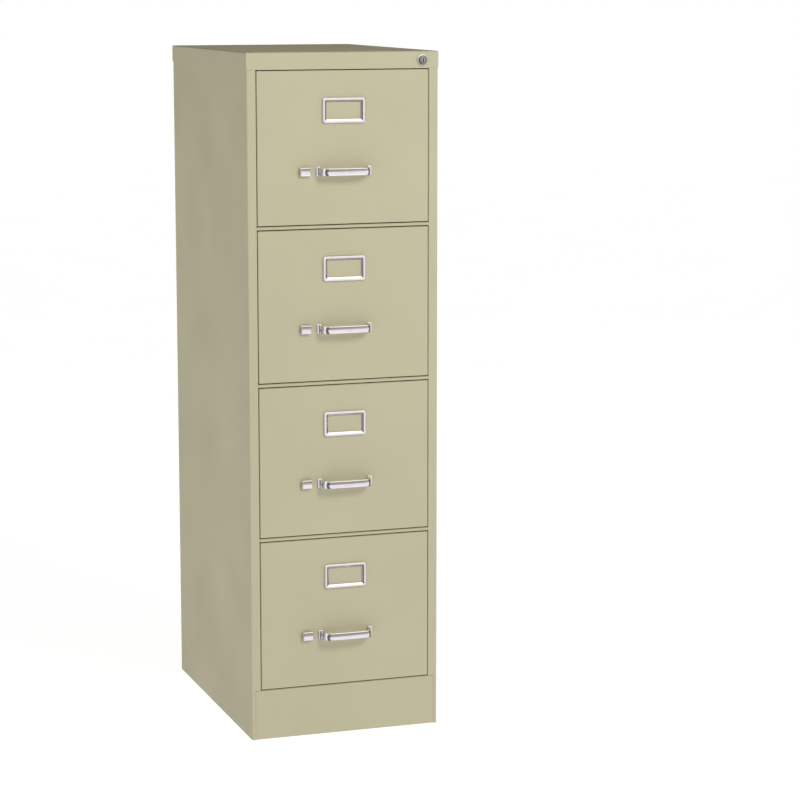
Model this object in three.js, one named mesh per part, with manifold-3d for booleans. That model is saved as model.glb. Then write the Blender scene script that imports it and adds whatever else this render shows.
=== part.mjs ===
// A four-drawer upright filing cabinet in folded sheet steel, in millimetres.
// +Z is up, the drawer fronts face -Y, and +X is on the right of someone who faces them.
// The origin is on the floor, at the centre of the box that holds the case and its handles.
// Drawer 1 is the top one. The left side's pieces are the right side's, mirrored in X.

import * as THREE from "three";
import { mergeVertices } from "three/addons/utils/BufferGeometryUtils.js";
import Module from "manifold-3d";

const wasm = await Module();
wasm.setup();

// ---- Driving dimensions ----

const CASE = { width: 381, depth: 558.8, height: 1320.8 };
const DRAWER_COUNT = 4;
const FIT = 0.3; // gap between two pieces that lie against each other
const REVEAL = 1.8; // gap round each drawer front
const SHEET = 1; // wall of the case and the drawers
const BEND = 1.4; // centreline radius of a fold
const BEND_STEPS = 3;
const ROUND_SEGMENTS = 40;
const OVERCUT = 1; // how far a cutting shape runs past what it cuts

const CAP = { height: 32.5, sheet: 1.2, proud: 1.5, corner: 2 };
const FLANGE = { width: 17.5, lip: 14, rear: 18, kickSeam: 6.6 };
const DRAWER = { pitch: 299.2, height: 289.6, frontDepth: 19 };
const RAIL_DEPTH = 30;
const PAN_FLANGE = 25;
const LATCH_TRAVEL = 8;

const TRAY = { halfWidth: 155, depth: 500, height: 250, rise: 5, hemWidth: 6, hemDrop: 6 };
const SLIDE = { sheet: 1.2, length: 500, start: 22, rise: 96, halfHeight: 22.5, outerX: 168 };
const SLIDE_FLANGE = { outer: 9.4, middleClear: 2, innerClear: 1 };
const SLIDE_NEST = { webGap: 1, middleGap: 0.7, innerGap: 2.4 }; // from each channel to the next
const STANDOFF = { halfHeight: 15, span: 30, foot: 11, setbacks: [44, 470] };

const HANDLE = {
  length: 110,
  height: 14.8,
  reach: 29,
  strap: 3.6,
  bend: 14,
  legSetback: 7.5, // from the foot's outer edge to the leg's middle
  lean: 1, // how much nearer the middle the leg is at the grip than at the foot
  footHeight: 19.5,
  footWidth: 9,
  footThickness: 3,
  footCorner: 2,
  channelHalf: 5.2,
  channelDepth: 1,
  drop: 189.9,
};
const LABEL = { width: 84, height: 48, corner: 4.5, thickness: 3.5, drop: 75.5 };
const LABEL_WINDOW = { width: 68, height: 31, corner: 2 };
const CARD_GROOVE = { margin: 3, depth: 1 }; // round the window, behind the holder
const LATCH = { x: -77.5, width: 20, height: 17, reach: 8, stemHalf: 3 };
const LATCH_DISH = { side: 2, rim: 3, depth: 2.5 };
const BOLT = { height: 10, reach: 0.9, near: 4, far: 6.5, pastStem: 2 };
const LOCK = { x: 158, rise: 15.2, bezel: 11.2, barrel: 9.4, plunger: 7.3, core: 5 };
const LOCK_PROUD = { bezel: 3, plunger: 5.5, core: 5.8 }; // in front of the drawer fronts
const LOCK_DEPTH = { barrel: 14, plunger: 22, bore: 12, key: 2 }; // behind them
const LOCK_EDGE = { bezel: 1, plunger: 0.5, core: 0.4 }; // chamfers
const KEY_SLOT = { halfWidth: 0.9, halfHeight: 3.6 };
const LOCK_CLIP = { setback: 1.6, sheet: 1.2, groove: 8.7, outer: 13 };
const LOCK_BAR = { x0: 174.5, x1: 186.5, setback: 26, sheet: 2, bottom: 120, headroom: 11 };
const LOCK_TAB = { reach: 4, drop: 60, height: 16 };
const BAR_GUIDE = { sheet: 1.2, height: 20, inner: 172.6, gap: 2.5, foot: 9, low: 150, high: 1255 };

// ---- Dimensions that follow from them ----

const HALF_WIDTH = CASE.width / 2;
const FRONT = (HANDLE.reach - CASE.depth) / 2; // plane of the drawer fronts
const BACK = FRONT + CASE.depth;
const BODY_HALF = HALF_WIDTH - CAP.proud;
const BODY_BACK = BACK - CAP.proud;
const OPENING_HALF = BODY_HALF - FLANGE.width;
const FRONT_HALF = OPENING_HALF - REVEAL;
const CAP_BOTTOM = CASE.height - CAP.height;
const CAP_INSIDE = CASE.height - CAP.sheet - FIT;
const RAIL_HEIGHT = DRAWER.pitch - DRAWER.height - 2 * REVEAL;
const KICK_HEIGHT = CAP_BOTTOM - DRAWER_COUNT * DRAWER.pitch + RAIL_HEIGHT;
const KICK_HALF = BODY_HALF - FLANGE.kickSeam;
const BACK_PANEL_FACE = BODY_BACK - 2 * SHEET - FIT;
const TRAY_FRONT = FRONT + DRAWER.frontDepth + FIT;
const SLIDE_START = FRONT + SLIDE.start;
const MID_SHEET = SHEET / 2;

// The lowest edge of a drawer's front.
const frontBottom = (number) => CAP_BOTTOM - REVEAL - DRAWER.height - (number - 1) * DRAWER.pitch;

// ---- Materials ----

const enamel = new THREE.MeshStandardMaterial({ color: 0xc1bb9d, roughness: 0.5, metalness: 0.1 });
const plated = new THREE.MeshStandardMaterial({ color: 0xc9c6cc, roughness: 0.22, metalness: 1 });
const zinc = new THREE.MeshStandardMaterial({ color: 0xa9adad, roughness: 0.45, metalness: 0.9 });
const lockSteel = new THREE.MeshStandardMaterial({ color: 0x8a8884, roughness: 0.35, metalness: 1 });

// ---- Shape helpers ----

// A closed geometry as a solid that can be joined and cut.
function solid(geometry) {
  geometry.deleteAttribute("normal");
  geometry.deleteAttribute("uv");
  const merged = mergeVertices(geometry, 1e-4);
  const vertProperties = merged.attributes.position.array;
  const triVerts = new Uint32Array(merged.index.array);
  return new wasm.Manifold(new wasm.Mesh({ numProp: 3, vertProperties, triVerts }));
}

// The geometry of a finished solid.
function geometryOf(shape) {
  const { numProp, numVert, vertProperties, triVerts } = shape.getMesh();
  const position = new Float32Array(numVert * 3);
  for (let i = 0; i < numVert; i++) {
    position.set(vertProperties.subarray(i * numProp, i * numProp + 3), i * 3);
  }
  const geometry = new THREE.BufferGeometry();
  geometry.setAttribute("position", new THREE.BufferAttribute(position, 3));
  geometry.setIndex(new THREE.BufferAttribute(triVerts, 1));
  geometry.computeVertexNormals();
  return geometry;
}

// A block between two values on each axis.
function block([x0, x1], [y0, y1], [z0, z1]) {
  const geometry = new THREE.BoxGeometry(x1 - x0, y1 - y0, z1 - z0);
  geometry.translate((x0 + x1) / 2, (y0 + y1) / 2, (z0 + z1) / 2);
  return solid(geometry);
}

const spread = (half) => [-half, half];

// An outline drawn in (x, y) and carried along Z.
function alongZ(outline, [z0, z1]) {
  const geometry = new THREE.ExtrudeGeometry(outline, { depth: z1 - z0, bevelEnabled: false });
  geometry.translate(0, 0, z0);
  return solid(geometry);
}

// An outline drawn in (x, z) and carried along Y.
function alongY(outline, [y0, y1]) {
  const geometry = new THREE.ExtrudeGeometry(outline, { depth: y1 - y0, bevelEnabled: false });
  geometry.rotateX(Math.PI / 2);
  geometry.translate(0, y1, 0);
  return solid(geometry);
}

// An outline drawn in (y, z) and carried along X.
function alongX(outline, [x0, x1]) {
  const geometry = new THREE.ExtrudeGeometry(outline, { depth: x1 - x0, bevelEnabled: false });
  const turn = new THREE.Matrix4().makeBasis(
    new THREE.Vector3(0, 1, 0),
    new THREE.Vector3(0, 0, 1),
    new THREE.Vector3(1, 0, 0),
  );
  geometry.applyMatrix4(turn);
  geometry.translate(x0, 0, 0);
  return solid(geometry);
}

// A profile of (radius, y) points turned about an axis parallel to Y.
function turned(profile, x, z) {
  const points = profile.map(([radius, y]) => new THREE.Vector2(radius, y));
  const geometry = new THREE.LatheGeometry(points, ROUND_SEGMENTS);
  geometry.translate(x, 0, z);
  return solid(geometry);
}

// The section of a folded strip: straight runs along a centreline, with a round bend at each corner.
function foldedStrip(centreline, thickness, bend = BEND) {
  const points = centreline.map(([u, v]) => new THREE.Vector2(u, v));
  const half = thickness / 2;
  const left = [];
  const right = [];
  const add = (at, normal, leftOffset, rightOffset) => {
    left.push(at.clone().addScaledVector(normal, leftOffset));
    right.push(at.clone().addScaledVector(normal, rightOffset));
  };
  const heading = (i) => points[i + 1].clone().sub(points[i]).normalize();
  const leftOf = (direction) => new THREE.Vector2(-direction.y, direction.x);
  const last = points.length - 1;

  add(points[0], leftOf(heading(0)), half, -half);
  for (let i = 1; i < last; i++) {
    const before = heading(i - 1);
    const after = heading(i);
    const turn = Math.sign(before.cross(after));
    const angle = Math.acos(before.dot(after));
    const tangentLength = bend * Math.tan(angle / 2);
    const towardsCentre = leftOf(before).multiplyScalar(turn);
    const centre = points[i].clone().addScaledVector(before, -tangentLength);
    centre.addScaledVector(towardsCentre, bend);
    for (let step = 0; step <= BEND_STEPS; step++) {
      const spoke = towardsCentre.clone().negate();
      spoke.rotateAround(new THREE.Vector2(), (turn * angle * step) / BEND_STEPS);
      add(centre, spoke, bend - turn * half, bend + turn * half);
    }
  }
  add(points[last], leftOf(heading(last - 1)), half, -half);
  return new THREE.Shape([...left, ...right.reverse()]);
}

// A rectangle with round corners, centred on (u, v).
function roundedRectangle(width, height, radius, u = 0, v = 0) {
  const [a, b] = [width / 2 - radius, height / 2 - radius];
  const corners = [
    [a, b, 0],
    [-a, b, 1],
    [-a, -b, 2],
    [a, -b, 3],
  ];
  const points = [];
  for (const [du, dv, quarter] of corners) {
    for (let step = 0; step <= BEND_STEPS; step++) {
      const angle = ((quarter + step / BEND_STEPS) * Math.PI) / 2;
      const corner = new THREE.Vector2(Math.cos(angle), Math.sin(angle)).multiplyScalar(radius);
      points.push(corner.add(new THREE.Vector2(u + du, v + dv)));
    }
  }
  return points;
}

// ---- The case ----

// A side: one sheet folded into a front flange with a lip, and a rear flange.
// Beside the kick plate the front flange is narrow, and inside the cap it stops short.
function sidePanel() {
  const side = BODY_HALF - MID_SHEET;
  const lip = OPENING_HALF + MID_SHEET;
  const folds = foldedStrip(
    [
      [lip, FRONT + FLANGE.lip],
      [lip, FRONT + MID_SHEET],
      [side, FRONT + MID_SHEET],
      [side, BODY_BACK - MID_SHEET],
      [BODY_HALF - FLANGE.rear, BODY_BACK - MID_SHEET],
    ],
    SHEET,
  );
  const setIn = FRONT + CAP.sheet + FIT;
  const upperSheet = block(
    [BODY_HALF - SHEET, BODY_HALF],
    [setIn, BODY_BACK - BEND],
    [CAP_BOTTOM - 2 * OVERCUT, CAP_INSIDE],
  );
  const kickNotch = block(
    [OPENING_HALF - OVERCUT, KICK_HALF],
    [FRONT - OVERCUT, FRONT + FLANGE.lip + OVERCUT],
    [-OVERCUT, KICK_HEIGHT + FIT],
  );
  return alongZ(folds, [0, CAP_BOTTOM - FIT]).add(upperSheet).subtract(kickNotch);
}

function backPanel() {
  return block(
    spread(BODY_HALF - SHEET - FIT),
    [BACK_PANEL_FACE, BACK_PANEL_FACE + SHEET],
    [0, CAP_INSIDE],
  );
}

// A shallow pan upside down, with a lip over the top drawer and a hole for the lock.
function topCap() {
  const wall = CAP.sheet;
  const plan = roundedRectangle(CASE.width, CASE.depth, CAP.corner, 0, (FRONT + BACK) / 2);
  const outside = alongZ(new THREE.Shape(plan), [CAP_BOTTOM, CASE.height]);
  const inside = block(
    spread(HALF_WIDTH - wall),
    [FRONT + wall, BACK - wall],
    [CAP_BOTTOM - OVERCUT, CASE.height - wall],
  );
  const lip = block(
    spread(OPENING_HALF - FIT),
    [FRONT + wall / 2, FRONT + FLANGE.lip],
    [CAP_BOTTOM, CAP_BOTTOM + wall],
  );
  const radius = LOCK.barrel + FIT;
  const lockHole = turned(
    [
      [0, FRONT - OVERCUT],
      [radius, FRONT - OVERCUT],
      [radius, FRONT + 2 * wall],
      [0, FRONT + 2 * wall],
    ],
    LOCK.x,
    CAP_BOTTOM + LOCK.rise,
  );
  return outside.subtract(inside).add(lip).subtract(lockHole);
}

// The case's floor, a channel whose flanges stand against the sides.
function bottomPan() {
  const side = BODY_HALF - SHEET - FIT - MID_SHEET;
  const section = foldedStrip(
    [
      [-side, PAN_FLANGE],
      [-side, MID_SHEET],
      [side, MID_SHEET],
      [side, PAN_FLANGE],
    ],
    SHEET,
  );
  return alongY(section, [FRONT + FLANGE.lip + FIT, BACK_PANEL_FACE - FIT]);
}

// A channel that opens to the rear, with its web in the front plane.
function frontChannel(z0, z1, depth, halfLength) {
  const section = foldedStrip(
    [
      [FRONT + depth, z0 + MID_SHEET],
      [FRONT + MID_SHEET, z0 + MID_SHEET],
      [FRONT + MID_SHEET, z1 - MID_SHEET],
      [FRONT + depth, z1 - MID_SHEET],
    ],
    SHEET,
  );
  return alongX(section, spread(halfLength));
}

const kickPlate = () => frontChannel(0, KICK_HEIGHT, FLANGE.lip, KICK_HALF - FIT);

function crossRail(numberAbove) {
  const top = frontBottom(numberAbove) - REVEAL;
  return frontChannel(top - RAIL_HEIGHT, top, RAIL_DEPTH, OPENING_HALF - FIT);
}

// ---- Telescopic slides ----
// Three channels nest in one another: the outer one is on the case, the middle one travels half
// as far as the drawer, and the inner one is on the tray. Z is counted from the slide's middle.

const SLIDE_RUN = [SLIDE_START, SLIDE_START + SLIDE.length];
const OUTER_WEB = SLIDE.outerX - SLIDE.sheet / 2;
const MIDDLE_WEB = OUTER_WEB - SLIDE.sheet - SLIDE_NEST.webGap;
const MIDDLE_HALF = SLIDE.halfHeight - SLIDE.sheet - SLIDE_NEST.middleGap;
const INNER_WEB = TRAY.halfWidth + FIT + SLIDE.sheet / 2;
const INNER_HALF = MIDDLE_HALF - SLIDE.sheet - SLIDE_NEST.innerGap;
const OUTER_END = SLIDE.outerX - SLIDE_FLANGE.outer;
const MIDDLE_END = TRAY.halfWidth + SLIDE_FLANGE.middleClear;
const INNER_END = MIDDLE_WEB - SLIDE.sheet / 2 - SLIDE_FLANGE.innerClear;

function slideChannel(web, flangeEnd, halfHeight) {
  const flange = halfHeight - SLIDE.sheet / 2;
  const section = foldedStrip(
    [
      [flangeEnd, flange],
      [web, flange],
      [web, -flange],
      [flangeEnd, -flange],
    ],
    SLIDE.sheet,
  );
  return alongY(section, SLIDE_RUN);
}

// The outer channel with the two hat brackets that hold it off the side panel.
function outerSlide() {
  let slide = slideChannel(OUTER_WEB, OUTER_END, SLIDE.halfHeight);
  const foot = BODY_HALF - SHEET - FIT - SLIDE.sheet / 2;
  for (const setback of STANDOFF.setbacks) {
    const y = FRONT + setback;
    const section = foldedStrip(
      [
        [foot, y - STANDOFF.foot],
        [foot, y],
        [OUTER_WEB, y],
        [OUTER_WEB, y + STANDOFF.span],
        [foot, y + STANDOFF.span],
        [foot, y + STANDOFF.span + STANDOFF.foot],
      ],
      SLIDE.sheet,
    );
    slide = slide.add(alongZ(section, spread(STANDOFF.halfHeight)));
  }
  return slide;
}

const middleSlide = () => slideChannel(MIDDLE_WEB, MIDDLE_END, MIDDLE_HALF);

const innerSlide = () => slideChannel(INNER_WEB, INNER_END, INNER_HALF);

// ---- Drawers, with Z counted from the lowest edge of the front ----

const HANDLE_Z = DRAWER.height - HANDLE.drop;

// A shallow pan open at the back, with a slot for the latch's stem and one for its bolt.
function drawerFront() {
  const outside = block(
    spread(FRONT_HALF),
    [FRONT, FRONT + DRAWER.frontDepth],
    [0, DRAWER.height],
  );
  const inside = block(
    spread(FRONT_HALF - SHEET),
    [FRONT + SHEET, FRONT + DRAWER.frontDepth + OVERCUT],
    [SHEET, DRAWER.height - SHEET],
  );
  const stem = stemBox(FIT);
  stem[0][1] += LATCH_TRAVEL;
  return outside.subtract(inside).subtract(block(...stem)).subtract(block(...boltBox(FIT)));
}

// The tray is folded from one sheet, hemmed along its top edges, between a front and a back wall.
function drawerTray() {
  const bottom = TRAY.rise;
  const top = bottom + TRAY.height;
  const side = TRAY.halfWidth - MID_SHEET;
  const hem = side + TRAY.hemWidth;
  const rightHalf = [
    [side, bottom + MID_SHEET],
    [side, top - MID_SHEET],
    [hem, top - MID_SHEET],
    [hem, top - TRAY.hemDrop],
  ];
  const leftHalf = rightHalf.map(([x, z]) => [-x, z]).reverse();
  const run = [TRAY_FRONT, TRAY_FRONT + TRAY.depth];
  const folded = alongY(foldedStrip([...leftHalf, ...rightHalf], SHEET), run);
  const frontWall = block(
    spread(FRONT_HALF - SHEET),
    [TRAY_FRONT, TRAY_FRONT + SHEET],
    [SHEET, DRAWER.height - SHEET],
  );
  const backWall = block(
    spread(side),
    [run[1] - SHEET, run[1]],
    [bottom + MID_SHEET, top - MID_SHEET],
  );
  return folded.add(frontWall).add(backWall);
}

// A strap bent into an arch, with a shallow channel along its front and a taller foot at each end.
function handle() {
  const end = HANDLE.length / 2 - HANDLE.legSetback;
  const mounted = FRONT - FIT;
  const grip = FRONT - HANDLE.reach + HANDLE.strap / 2;
  const arch = foldedStrip(
    [
      [-end, mounted],
      [-end + HANDLE.lean, grip],
      [end - HANDLE.lean, grip],
      [end, mounted],
    ],
    HANDLE.strap,
    HANDLE.bend,
  );
  let piece = alongZ(arch, spread(HANDLE.height / 2));
  const footX = (HANDLE.length - HANDLE.footWidth) / 2;
  for (const x of [-footX, footX]) {
    const outline = roundedRectangle(HANDLE.footWidth, HANDLE.footHeight, HANDLE.footCorner, x);
    const foot = alongY(new THREE.Shape(outline), [mounted - HANDLE.footThickness, mounted]);
    piece = piece.add(foot);
  }
  const face = FRONT - HANDLE.reach;
  const channel = block(
    spread(end - HANDLE.bend),
    [face - OVERCUT, face + HANDLE.channelDepth],
    spread(HANDLE.channelHalf),
  );
  const levelEnds = block(
    spread(HANDLE.length),
    [mounted, mounted + OVERCUT],
    spread(HANDLE.height),
  );
  return piece.subtract(channel).subtract(levelEnds).translate([0, 0, HANDLE_Z]);
}

// A picture-frame holder, with a groove behind it that takes a card from above.
function labelHolder() {
  const z = DRAWER.height - LABEL.drop;
  const frame = roundedRectangle(LABEL.width, LABEL.height, LABEL.corner, 0, z);
  const { width, height, corner } = LABEL_WINDOW;
  const outline = new THREE.Shape(frame);
  outline.holes.push(new THREE.Path(roundedRectangle(width, height, corner, 0, z)));
  const back = FRONT - FIT;
  const groove = block(
    spread(width / 2 + CARD_GROOVE.margin),
    [back - CARD_GROOVE.depth, back + OVERCUT],
    [z - height / 2 - CARD_GROOVE.margin, z + LABEL.height],
  );
  return alongY(outline, [back - LABEL.thickness, back]).subtract(groove);
}

// The latch's stem and bolt, each grown by a clearance, as ranges of x, y and z.
function stemBox(clearance) {
  const half = LATCH.stemHalf + clearance;
  return [
    [LATCH.x - half, LATCH.x + half],
    [FRONT - OVERCUT, FRONT + BOLT.near + OVERCUT],
    [HANDLE_Z - half, HANDLE_Z + half],
  ];
}

function boltBox(clearance) {
  const half = BOLT.height / 2 + clearance;
  return [
    [-FRONT_HALF - BOLT.reach - clearance, LATCH.x + LATCH.stemHalf + BOLT.pastStem],
    [FRONT + BOLT.near - clearance, FRONT + BOLT.far + clearance],
    [HANDLE_Z - half, HANDLE_Z + half],
  ];
}

// A thumb button outside the front, joined through its slot to the bolt inside.
function latch() {
  const [left, right] = [LATCH.x - LATCH.width / 2, LATCH.x + LATCH.width / 2];
  const half = LATCH.height / 2;
  const button = block(
    [left, right],
    [FRONT - LATCH.reach, FRONT - FIT],
    [HANDLE_Z - half, HANDLE_Z + half],
  );
  const face = FRONT - LATCH.reach;
  const hollow = block(
    [left + LATCH_DISH.side, right + OVERCUT],
    [face - OVERCUT, face + LATCH_DISH.depth],
    [HANDLE_Z - half + LATCH_DISH.rim, HANDLE_Z + half - LATCH_DISH.rim],
  );
  return button.subtract(hollow).add(block(...stemBox(0))).add(block(...boltBox(0)));
}

// ---- The lock, in the cap above the drawers ----

const LOCK_Z = CAP_BOTTOM + LOCK.rise;
const CLIP_RUN = [FRONT + LOCK_CLIP.setback, FRONT + LOCK_CLIP.setback + LOCK_CLIP.sheet];

// A bezel outside the cap and a barrel inside it, with a groove for the clip behind the sheet.
const lockHousing = () =>
  turned(
    [
      [LOCK.plunger + FIT, FRONT - LOCK_PROUD.bezel],
      [LOCK.bezel - LOCK_EDGE.bezel, FRONT - LOCK_PROUD.bezel],
      [LOCK.bezel, FRONT - LOCK_PROUD.bezel + LOCK_EDGE.bezel],
      [LOCK.bezel, FRONT - FIT],
      [LOCK.barrel, FRONT - FIT],
      [LOCK.barrel, CLIP_RUN[0] - FIT],
      [LOCK_CLIP.groove, CLIP_RUN[0] - FIT],
      [LOCK_CLIP.groove, CLIP_RUN[1] + FIT],
      [LOCK.barrel, CLIP_RUN[1] + FIT],
      [LOCK.barrel, FRONT + LOCK_DEPTH.barrel],
      [LOCK.plunger + FIT, FRONT + LOCK_DEPTH.barrel],
      [LOCK.plunger + FIT, FRONT - LOCK_PROUD.bezel],
    ],
    LOCK.x,
    LOCK_Z,
  );

// A horseshoe, open below, that slides into the barrel's groove and holds the housing in the cap.
function lockClip() {
  const inner = LOCK_CLIP.groove + FIT;
  const ring = turned(
    [
      [inner, CLIP_RUN[0]],
      [LOCK_CLIP.outer, CLIP_RUN[0]],
      [LOCK_CLIP.outer, CLIP_RUN[1]],
      [inner, CLIP_RUN[1]],
      [inner, CLIP_RUN[0]],
    ],
    LOCK.x,
    LOCK_Z,
  );
  const mouth = block(
    [LOCK.x - inner, LOCK.x + inner],
    [CLIP_RUN[0] - OVERCUT, CLIP_RUN[1] + OVERCUT],
    [LOCK_Z - LOCK_CLIP.outer - OVERCUT, LOCK_Z],
  );
  return ring.subtract(mouth);
}

// A sleeve that pushes into the housing, with a blind bore for the keyed core.
const lockPlunger = () =>
  turned(
    [
      [0, FRONT + LOCK_DEPTH.bore],
      [LOCK.core + FIT, FRONT + LOCK_DEPTH.bore],
      [LOCK.core + FIT, FRONT - LOCK_PROUD.plunger],
      [LOCK.plunger - LOCK_EDGE.plunger, FRONT - LOCK_PROUD.plunger],
      [LOCK.plunger, FRONT - LOCK_PROUD.plunger + LOCK_EDGE.plunger],
      [LOCK.plunger, FRONT + LOCK_DEPTH.plunger],
      [0, FRONT + LOCK_DEPTH.plunger],
    ],
    LOCK.x,
    LOCK_Z,
  );

function lockCore() {
  const core = turned(
    [
      [0, FRONT - LOCK_PROUD.core],
      [LOCK.core - LOCK_EDGE.core, FRONT - LOCK_PROUD.core],
      [LOCK.core, FRONT - LOCK_PROUD.core + LOCK_EDGE.core],
      [LOCK.core, FRONT + LOCK_DEPTH.bore - FIT],
      [0, FRONT + LOCK_DEPTH.bore - FIT],
    ],
    LOCK.x,
    LOCK_Z,
  );
  const keySlot = block(
    [LOCK.x - KEY_SLOT.halfWidth, LOCK.x + KEY_SLOT.halfWidth],
    [FRONT - LOCK_PROUD.core - OVERCUT, FRONT + LOCK_DEPTH.key],
    [LOCK_Z - KEY_SLOT.halfHeight, LOCK_Z + KEY_SLOT.halfHeight],
  );
  return core.subtract(keySlot);
}

// A strip behind the right flange with a tab beside each drawer.
function lockBar() {
  const depth = [FRONT + LOCK_BAR.setback, FRONT + LOCK_BAR.setback + LOCK_BAR.sheet];
  const height = [LOCK_BAR.bottom, CASE.height - LOCK_BAR.headroom];
  let bar = block([LOCK_BAR.x0, LOCK_BAR.x1], depth, height);
  for (let number = 1; number <= DRAWER_COUNT; number++) {
    const z = frontBottom(number) + DRAWER.height - LOCK_TAB.drop;
    const reach = [LOCK_BAR.x0 - LOCK_TAB.reach, LOCK_BAR.x0 + OVERCUT];
    bar = bar.add(block(reach, depth, [z, z + LOCK_TAB.height]));
  }
  return bar;
}

// A strap on the side panel that goes round the lock bar. Z is counted from its lower edge.
function barGuide() {
  const foot = BODY_HALF - SHEET - FIT - BAR_GUIDE.sheet / 2;
  const y0 = FRONT + LOCK_BAR.setback - BAR_GUIDE.gap;
  const y1 = FRONT + LOCK_BAR.setback + LOCK_BAR.sheet + BAR_GUIDE.gap;
  const section = foldedStrip(
    [
      [foot, y0 - BAR_GUIDE.foot],
      [foot, y0],
      [BAR_GUIDE.inner, y0],
      [BAR_GUIDE.inner, y1],
      [foot, y1],
      [foot, y1 + BAR_GUIDE.foot],
    ],
    BAR_GUIDE.sheet,
  );
  return alongZ(section, [0, BAR_GUIDE.height]);
}

// ---- Assembly ----

const cabinet = new THREE.Group();

function place(group, name, shape, material, z = 0) {
  const piece = new THREE.Mesh(geometryOf(shape), material);
  piece.name = name;
  piece.position.z = z;
  group.add(piece);
  return piece;
}

// The same piece on the left and on the right.
function placePair(group, name, shape, material, z = 0) {
  place(group, `${name}_right`, shape, material, z);
  place(group, `${name}_left`, shape, material, z).scale.x = -1;
}

// "slide_outer_1_left" is read as "the outer slide of drawer 1, on the left".
function addCase() {
  const frame = new THREE.Group();
  placePair(frame, "side_panel", sidePanel(), enamel);
  place(frame, "back_panel", backPanel(), enamel);
  place(frame, "top_cap", topCap(), enamel);
  place(frame, "bottom_pan", bottomPan(), enamel);
  place(frame, "kick_plate", kickPlate(), enamel);
  for (let number = 1; number < DRAWER_COUNT; number++) {
    place(frame, `cross_rail_${number}`, crossRail(number), enamel);
  }
  const slide = outerSlide();
  for (let number = 1; number <= DRAWER_COUNT; number++) {
    placePair(frame, `slide_outer_${number}`, slide, zinc, frontBottom(number) + SLIDE.rise);
  }
  cabinet.add(frame);
}

function addLock() {
  place(cabinet, "lock_housing", lockHousing(), plated);
  place(cabinet, "lock_clip", lockClip(), zinc);
  place(cabinet, "lock_plunger", lockPlunger(), plated);
  place(cabinet, "lock_core", lockCore(), lockSteel);
  place(cabinet, "lock_bar", lockBar(), zinc);
  place(cabinet, "lock_bar_guide_lower", barGuide(), zinc, BAR_GUIDE.low);
  place(cabinet, "lock_bar_guide_upper", barGuide(), zinc, BAR_GUIDE.high);
}

function addDrawers() {
  const pieces = [
    ["drawer_front", drawerFront(), enamel],
    ["drawer_tray", drawerTray(), enamel],
    ["handle", handle(), plated],
    ["label_holder", labelHolder(), plated],
    ["latch", latch(), plated],
  ];
  const [inner, middle] = [innerSlide(), middleSlide()];
  for (let number = 1; number <= DRAWER_COUNT; number++) {
    const drawer = new THREE.Group();
    drawer.position.z = frontBottom(number);
    for (const [name, shape, material] of pieces) {
      place(drawer, `${name}_${number}`, shape, material);
    }
    placePair(drawer, `slide_inner_${number}`, inner, zinc, SLIDE.rise);
    placePair(drawer, `slide_middle_${number}`, middle, zinc, SLIDE.rise);
    cabinet.add(drawer);
  }
}

addCase();
addLock();
addDrawers();

export default cabinet;
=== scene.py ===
"""The looks of a four-drawer filing cabinet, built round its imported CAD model.

Metres, +Z up, the drawer fronts face -Y. Sizes come from the CAD nodes' boxes; lengths that a box
can't give are named below in millimetres, as MM times a number.
"""

import math

import bmesh
import bpy
from mathutils import Matrix, Vector


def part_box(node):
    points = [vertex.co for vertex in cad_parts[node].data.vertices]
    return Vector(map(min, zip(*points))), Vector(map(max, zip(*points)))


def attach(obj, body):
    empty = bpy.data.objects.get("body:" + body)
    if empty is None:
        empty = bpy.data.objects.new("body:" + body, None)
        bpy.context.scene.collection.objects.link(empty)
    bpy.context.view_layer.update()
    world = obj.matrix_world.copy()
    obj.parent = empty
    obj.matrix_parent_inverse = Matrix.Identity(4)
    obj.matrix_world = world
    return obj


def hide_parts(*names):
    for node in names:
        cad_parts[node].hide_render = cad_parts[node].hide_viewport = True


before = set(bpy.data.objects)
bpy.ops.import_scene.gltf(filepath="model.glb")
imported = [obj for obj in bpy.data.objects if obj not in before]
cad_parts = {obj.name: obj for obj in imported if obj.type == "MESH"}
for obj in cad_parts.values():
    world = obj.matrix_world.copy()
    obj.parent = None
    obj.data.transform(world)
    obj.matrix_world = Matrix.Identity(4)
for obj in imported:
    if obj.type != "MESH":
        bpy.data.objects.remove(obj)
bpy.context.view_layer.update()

# ---- Sizes ----

MM = 0.001
DRAWERS = (1, 2, 3, 4)
SHEET = 1.0 * MM  # case and drawer walls
CAP_SHEET = 1.2 * MM
FIT = 0.3 * MM  # gap that the CAD leaves between touching pieces
FOLD = 1.4 * MM  # centreline radius of a sheet fold
FOLD_STEPS = 6
EDGE_BREAK = 0.28 * MM  # softened edge of cut sheet
FINE_EDGE = 0.1 * MM  # softened edge of small pieces, and of the kick plate
SHARP = math.radians(50)  # an edge that turns further than this is softened
HAIR = 0.05 * MM  # keeps a piece's face off the sheet it stands on

FRONT_LOW, FRONT_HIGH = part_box("drawer_front_1")
TRAY_LOW, TRAY_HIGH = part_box("drawer_tray_1")
CAP_LOW, CAP_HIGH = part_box("top_cap")
SIDE_LOW, SIDE_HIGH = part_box("side_panel_right")
FRONT_Y = FRONT_LOW.y
DRAWER_MIDDLE = (FRONT_LOW.z + FRONT_HIGH.z) / 2


def drawer_drop(number):
    """How far drawer number lies below drawer 1."""
    return FRONT_LOW.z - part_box(f"drawer_front_{number}")[0].z


# ---- Mesh tools ----


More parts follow.
